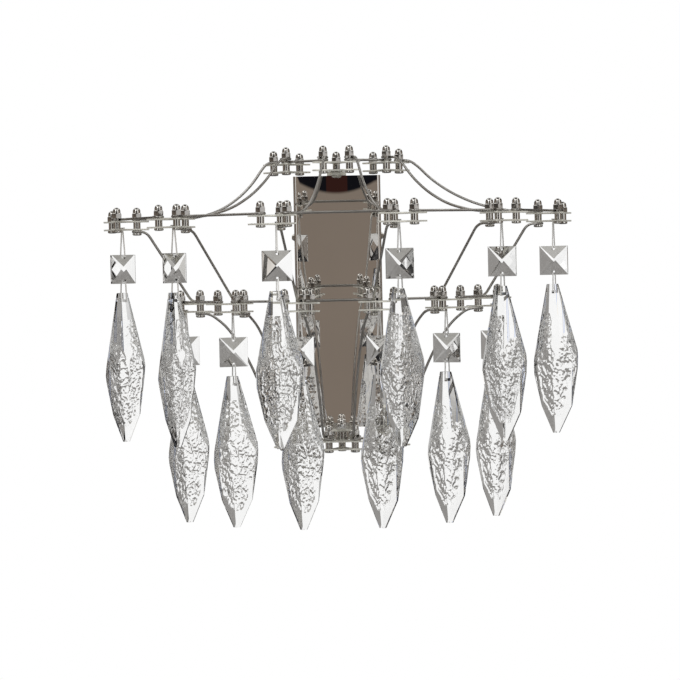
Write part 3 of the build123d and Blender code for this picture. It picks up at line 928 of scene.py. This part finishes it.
# Each lamp: its place, its width and height in metres, and its power in watts.
LAMPS = {
    "key": ((-0.9, -1.6, 1.5), (1.2, 1.2), 5),
    "fill": ((1.3, -1.2, 0.6), (1.0, 1.4), 2),
}
LAMP_AIM = (0, -0.1, 0)


def math_node(tree, operation, first, second):
    node = tree.nodes.new("ShaderNodeMath")
    node.operation = operation
    for socket, value in zip(node.inputs, (first, second)):
        if isinstance(value, float):
            socket.default_value = value
        else:
            tree.links.new(value, socket)
    return node.outputs[0]


def share_over(tree, value, span):
    """Zero at the span's first value and before it, one at its second and past it."""
    node = tree.nodes.new("ShaderNodeMapRange")
    node.inputs["From Min"].default_value = span[0]
    node.inputs["From Max"].default_value = span[1]
    tree.links.new(value, node.inputs["Value"])
    return node.outputs["Result"]


def mixed(tree, share, under, over):
    """The colour over, by its share, on the colour under. Either is a tuple or a socket."""
    node = tree.nodes.new("ShaderNodeMix")
    node.data_type = "RGBA"
    tree.links.new(share, node.inputs["Factor"])
    for socket, value in ((node.inputs["A"], under), (node.inputs["B"], over)):
        if isinstance(value, tuple):
            socket.default_value = (*value, 1)
        else:
            tree.links.new(value, socket)
    return node.outputs["Result"]


def wall_before(tree, x, sides, z):
    sag = math_node(tree, "MULTIPLY", math_node(tree, "MULTIPLY", x, x), BAND_SAG)
    height = math_node(tree, "SUBTRACT", z, sag)
    band = mixed(tree, share_over(tree, sides, BAND_MIDDLE_SPAN), BAND_MIDDLE, BAND)
    wall = mixed(tree, share_over(tree, height, BAND_FOOT_SPAN), WALL, band)
    return mixed(tree, share_over(tree, height, BAND_TOP_SPAN), wall, PATCH_PALE)


def metal_room(tree, sides, y, z, wall):
    inner = share_over(tree, sides, STRIP_INNER_SPAN)
    outer = share_over(tree, sides, STRIP_OUTER_SPAN)
    room = mixed(tree, math_node(tree, "MULTIPLY", inner, outer), CLOTH, STRIP)
    room = mixed(tree, share_over(tree, z, STRIP_ABOVE_LOWER_SPAN), room, STRIP)
    room = mixed(tree, share_over(tree, z, STRIP_ABOVE_UPPER_SPAN), CLOTH, room)
    room = mixed(tree, share_over(tree, sides, SIDE_WALL_SPAN), room, WALL)
    room = mixed(tree, share_over(tree, y, BEHIND_METAL_SPAN), room, BEHIND_METAL)
    return mixed(tree, share_over(tree, y, WALL_IN_METAL_SPAN), room, wall)


def glass_room(tree, direction, x, y, z, wall):
    patches = tree.nodes.new("ShaderNodeTexNoise")
    patches.inputs["Scale"].default_value = PATCH_SCALE
    patches.inputs["Detail"].default_value = PATCH_DETAIL
    tree.links.new(direction, patches.inputs["Vector"])
    patch = share_over(tree, patches.outputs["Fac"], PATCH_SPAN)
    rim = mixed(tree, patch, RIM_DARK, RIM_PALE)
    rim = mixed(tree, share_over(tree, y, SHEET_SPAN), rim, SHEET)
    rim = mixed(tree, share_over(tree, x, GREY_RIGHT_SPAN), rim, GREY_RIGHT)
    rim = mixed(tree, share_over(tree, z, GREY_BELOW_SPAN), rim, GREY_BELOW)
    rim = mixed(tree, share_over(tree, z, GREY_ABOVE_SPAN), rim, GREY_ABOVE)
    room = mixed(tree, patch, PATCH_DARK, PATCH_PALE)
    room = mixed(tree, share_over(tree, z, CEILING_SPAN), room, CEILING)
    room = mixed(tree, share_over(tree, y, RIM_SPAN), room, rim)
    return mixed(tree, share_over(tree, y, WALL_IN_GLASS_SPAN), room, wall)


def studio_world():
    """The world. A ray refracted by clear glass is glossy too, so glass is mixed in over metal."""
    world = bpy.data.worlds.new("studio")
    bpy.context.scene.world = world
    world.use_nodes = True
    tree = world.node_tree
    direction = tree.nodes.new("ShaderNodeTexCoord").outputs["Generated"]
    split = tree.nodes.new("ShaderNodeSeparateXYZ")
    tree.links.new(direction, split.inputs[0])
    x, y, z = split.outputs
    sides = math_node(tree, "ABSOLUTE", x, 0.0)
    wall = wall_before(tree, x, sides, z)
    in_metal = metal_room(tree, sides, y, z, wall)
    in_glass = glass_room(tree, direction, x, y, z, wall)

    path = tree.nodes.new("ShaderNodeLightPath")
    seen = mixed(tree, path.outputs["Is Transmission Ray"], in_metal, in_glass)
    seen = mixed(tree, path.outputs["Is Diffuse Ray"], seen, AROUND)
    seen = mixed(tree, path.outputs["Is Camera Ray"], seen, SHEET)
    tree.links.new(seen, tree.nodes["Background"].inputs["Color"])


def area_lamp(name, place, size, power):
    lamp = bpy.data.lights.new(name, "AREA")
    lamp.shape = "RECTANGLE"
    lamp.size, lamp.size_y = size
    lamp.energy = power
    obj = bpy.data.objects.new(name, lamp)
    obj.location = place
    ahead = Vector(LAMP_AIM) - Vector(place)
    obj.rotation_euler = ahead.to_track_quat("-Z", "Y").to_euler()
    bpy.context.scene.collection.objects.link(obj)


def floor():
    """A pale floor under the hung part, short of the photograph's frame."""
    left, right, front, back = -FLOOR_REACH, FLOOR_REACH, -FLOOR_REACH, FLOOR_BACK
    corners = [(left, front), (right, front), (right, back), (left, back)]
    mesh = bpy.data.meshes.new("floor")
    mesh.from_pydata([(x, y, FLOOR_LEVEL) for x, y in corners], [], [(0, 1, 2, 3)])
    obj = bpy.data.objects.new("floor", mesh)
    bpy.context.scene.collection.objects.link(obj)
    material, tree, shader = new_material("floor_white")
    shader.inputs["Roughness"].default_value = FLOOR_ROUGHNESS
    path = tree.nodes.new("ShaderNodeLightPath")
    tone = mixed(tree, path.outputs["Is Glossy Ray"], FLOOR_WHITE, FLOOR_IN_METAL)
    tone = mixed(tree, path.outputs["Is Transmission Ray"], tone, FLOOR_IN_GLASS)
    tree.links.new(tone, shader.inputs["Base Color"])
    obj.data.materials.append(material)


def camera():
    data = bpy.data.cameras.new("camera")
    data.lens = FOCAL_MM
    data.sensor_width = SENSOR_MM
    data.clip_end = CLIP_END
    obj = bpy.data.objects.new("camera", data)
    place = Vector((0, AXIS.y - CAMERA_DISTANCE, EYE_LEVEL))
    ahead = (Vector((0, AXIS.y, AIM_LEVEL)) - place).normalized()
    right = ahead.cross(UP).normalized()
    over = right.cross(ahead)
    roll = math.radians(ROLL_DEG)
    tilted_up = over * math.cos(roll) + right * math.sin(roll)
    tilted_right = ahead.cross(tilted_up)
    turn = Matrix((tilted_right, tilted_up, -ahead)).transposed()
    obj.matrix_world = Matrix.Translation(place) @ turn.to_4x4()
    bpy.context.scene.collection.objects.link(obj)
    bpy.context.scene.camera = obj


camera()
for name, node in NODES.items():
    paint(node, MATERIALS[finish_of(name)])
for name, bend in BEND_OF_RODS.items():
    round_rods(name, bend)
for name in PLATE_NODES:
    plates(name)
acorn_nuts()
bolts()
washers()
polished_box()
icicles()

studio_world()
for name, (place, size, power) in LAMPS.items():
    area_lamp(name, place, size, power)
floor()
bpy.context.scene.view_settings.view_transform = "Standard"
